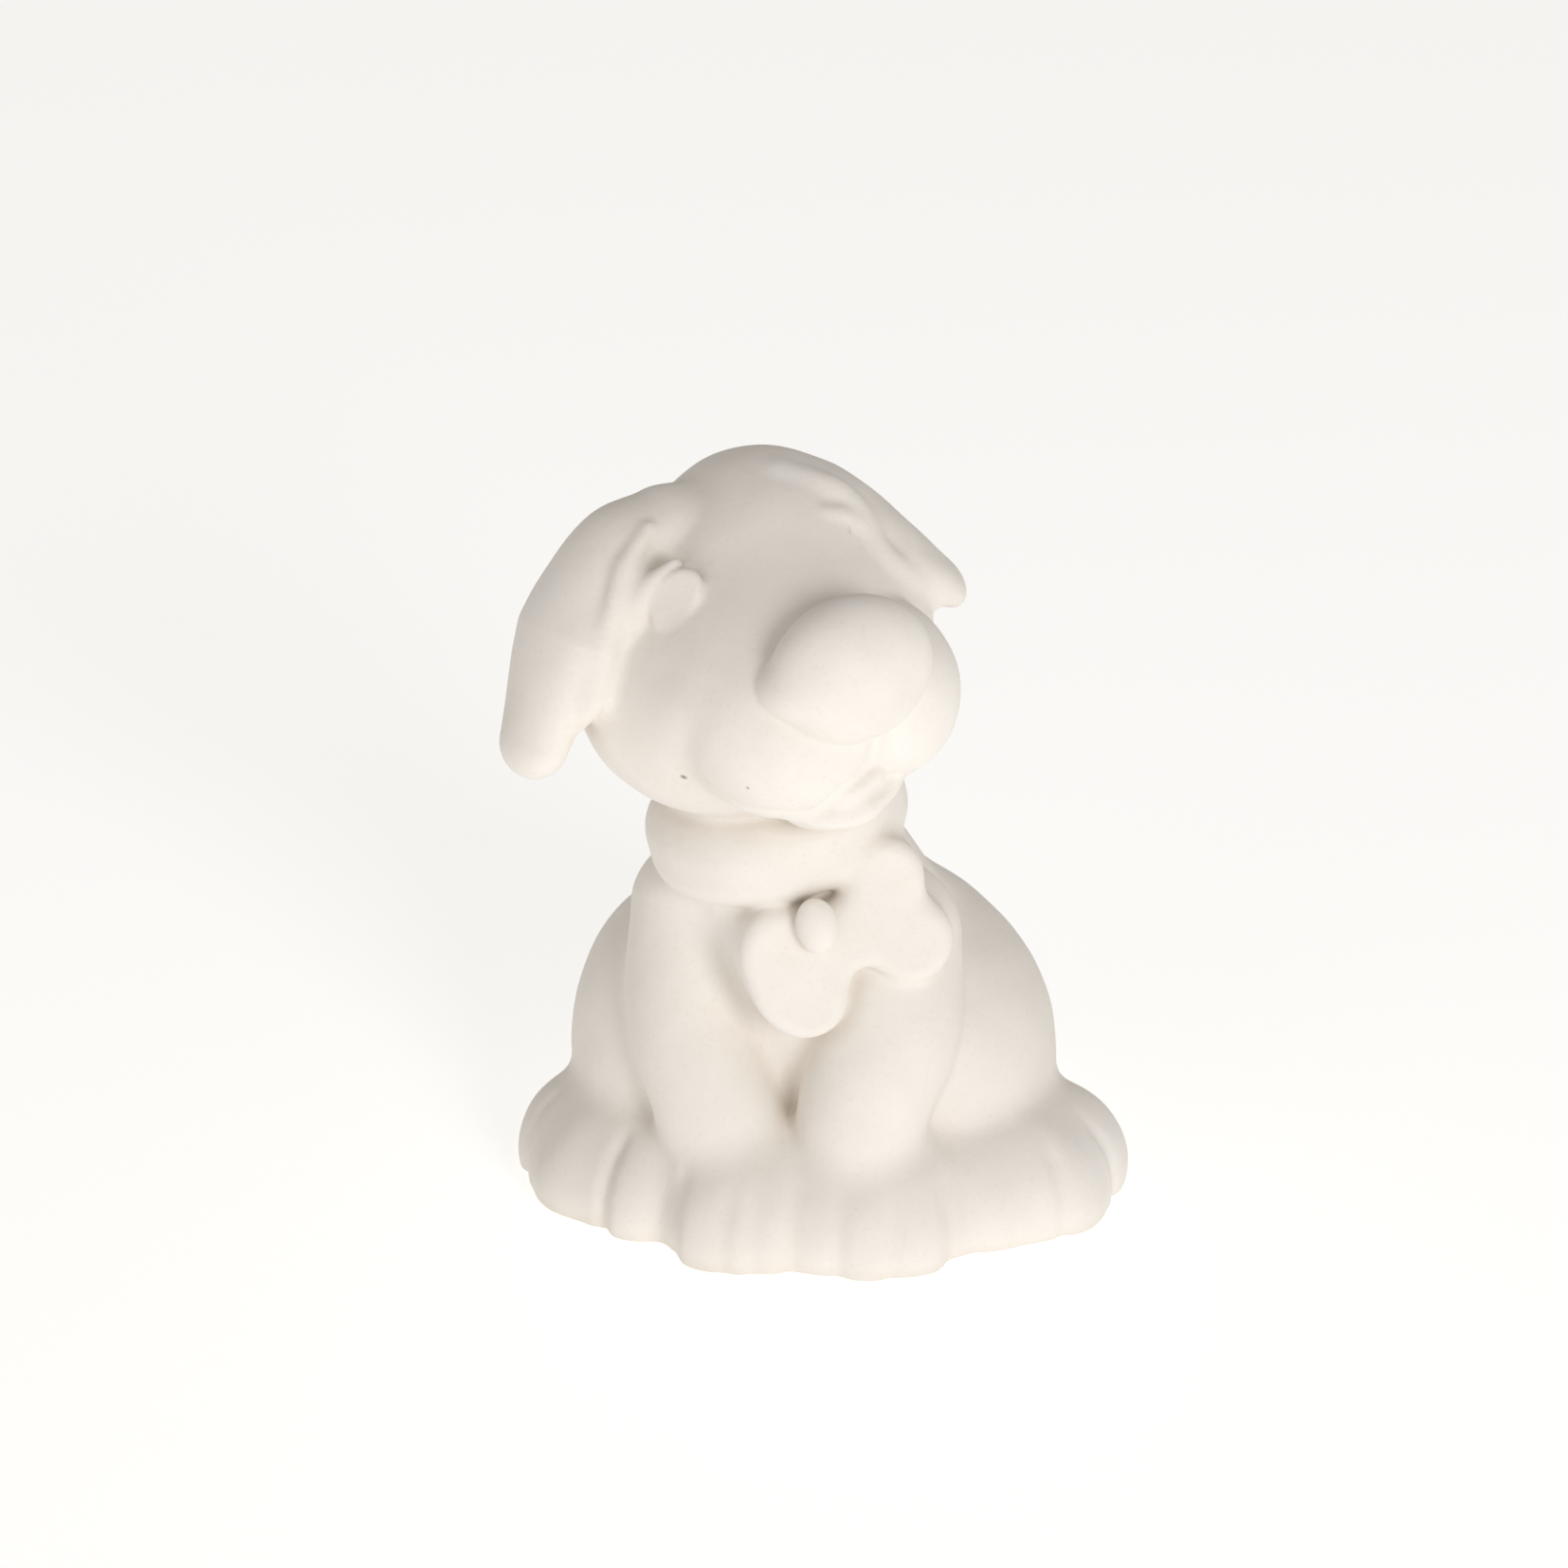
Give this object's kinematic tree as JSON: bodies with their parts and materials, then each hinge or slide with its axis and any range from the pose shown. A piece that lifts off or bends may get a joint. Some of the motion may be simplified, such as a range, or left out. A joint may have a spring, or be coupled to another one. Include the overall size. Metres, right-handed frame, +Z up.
{
  "type": "ceramic dog figurine",
  "caption": "Seated puppy figurine in matt white bisque, head tilted and turned, with a rolled collar and a bone-shaped tag on its chest.",
  "frame": {"origin": "middle of the figurine's outer box, on the plane that it rests on", "axes": "+Z up, -Y the way the chest and front paws face, +X the puppy's own left; the tallest way is Z"},
  "size_m": [0.0812, 0.08, 0.1031],
  "materials": {
    "bisque_body": "matt unglazed white bisque, fine grain, faint mottling, sponged seams",
    "bisque_head": "matt unglazed white bisque, slightly smoother than the body, two small casting pinholes",
    "bisque_trim": "matt unglazed white bisque with sponged, softened edges",
    "bisque_features": "matt unglazed white bisque, smoothed, with small handling scuffs"
  },
  "bodies": {
    "root": {"torso": "bisque_body", "head": "bisque_head", "haunch_left": "bisque_body", "haunch_right": "bisque_body", "front_leg_left": "bisque_body", "front_leg_right": "bisque_body", "front_paw_left": "bisque_body", "front_paw_right": "bisque_body", "hind_paw_left": "bisque_body", "hind_paw_right": "bisque_body", "tail": "bisque_body", "collar": "bisque_trim", "bone_tag": "bisque_trim", "tag_loop": "bisque_trim", "jowl_left": "bisque_head", "jowl_right": "bisque_head", "nose": "bisque_features", "tongue": "bisque_head", "lower_jaw": "bisque_head", "eye_left": "bisque_features", "eye_right": "bisque_features", "eyelid_left": "bisque_head", "eyelid_right": "bisque_head", "ear_left": "bisque_head", "ear_right": "bisque_head"}
  },
  "joints": []
}
